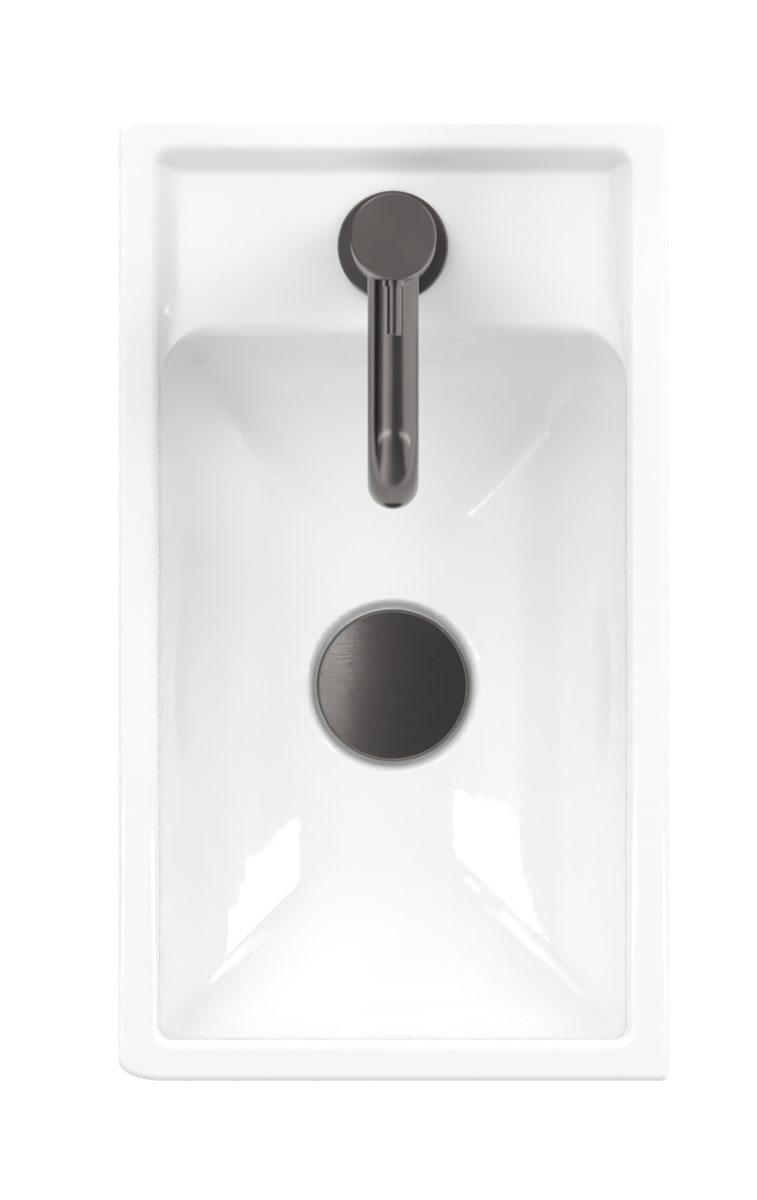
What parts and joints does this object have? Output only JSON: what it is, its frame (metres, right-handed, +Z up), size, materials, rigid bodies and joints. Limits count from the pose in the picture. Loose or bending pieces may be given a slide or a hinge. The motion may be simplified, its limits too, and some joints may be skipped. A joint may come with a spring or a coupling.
{
  "type": "cloakroom basin with mixer tap",
  "caption": "Wall-hung rectangular cloakroom basin with a lever mixer tap on its end ledge and a push-down waste.",
  "frame": {"origin": "middle of the flat wall face, level with the two wall-bolt holes", "axes": "+X along the wall away from the tap, +Y into the wall, +Z up"},
  "size_m": [0.3996, 0.2288, 0.267],
  "materials": {
    "glaze": "gloss",
    "gunmetal": "brushed",
    "brass": "turned",
    "steel": "plain",
    "rubber": "matte",
    "white_plastic": "satin",
    "grey_plastic": "matte",
    "disc_ceramic": "lapped"
  },
  "bodies": {
    "root": {"basin": "glaze", "tap_body": "gunmetal", "base_ring": "gunmetal", "base_seal": "rubber", "spout": "gunmetal", "aerator_housing": "gunmetal", "aerator_insert": "white_plastic", "aerator_seal": "rubber", "cartridge_base": "grey_plastic", "cartridge_seals": "rubber", "fixed_disc": "disc_ceramic", "cartridge_housing": "white_plastic", "retaining_nut": "brass", "clamp_stud": "steel", "clamp_seal": "rubber", "clamp_washer": "steel", "clamp_nut": "brass", "waste_body": "gunmetal", "waste_flange_seal": "rubber", "waste_cone_seal": "rubber", "waste_slip_washer": "white_plastic", "waste_backnut": "brass", "click_sleeve": "white_plastic", "click_spring": "steel"},
    "handle_carrier": {"cartridge_carrier": "grey_plastic", "carrier_seal": "rubber", "tilt_pin": "steel"},
    "handle": {"spindle": "brass", "handle_knob": "gunmetal", "handle_lever": "gunmetal", "handle_screw": "steel"},
    "mixing_disc": {"moving_disc": "disc_ceramic", "disc_slider": "grey_plastic"},
    "waste_lifter": {"waste_cap": "gunmetal", "waste_cap_seal": "rubber", "waste_plunger": "brass"},
    "waste_rotor": {"click_rotor": "white_plastic"}
  },
  "joints": [
    {"name": "handle_turn", "type": "hinge", "parent": "root", "child": "handle_carrier", "pos_m": [-0.147, -0.1145, 0.162], "axis": [0, 0, 1], "range_deg": [-45, 45]},
    {"name": "handle_lift", "type": "hinge", "parent": "handle_carrier", "child": "handle", "pos_m": [-0.147, -0.1145, 0.162], "axis": [0, -1, 0], "range_deg": [0, 22]},
    {"name": "disc_slide", "type": "slide", "parent": "handle_carrier", "child": "mixing_disc", "axis": [1, 0, 0], "range_m": [0, 0.00244]},
    {"name": "waste_lift", "type": "slide", "parent": "root", "child": "waste_lifter", "axis": [0, 0, 1], "range_m": [0, 0.009], "deforming": ["click_spring"]},
    {"name": "rotor_turn", "type": "hinge", "parent": "waste_lifter", "child": "waste_rotor", "pos_m": [0.036, -0.1145, -0.023], "axis": [0, 0, 1], "range_deg": [0, 45]}
  ],
  "couplings": [
    {"joint": "disc_slide", "follows": "handle_lift", "m_per_rad": 0.0063414},
    {"joint": "rotor_turn", "follows": "waste_lift", "rad_per_m": 87.266}
  ]
}
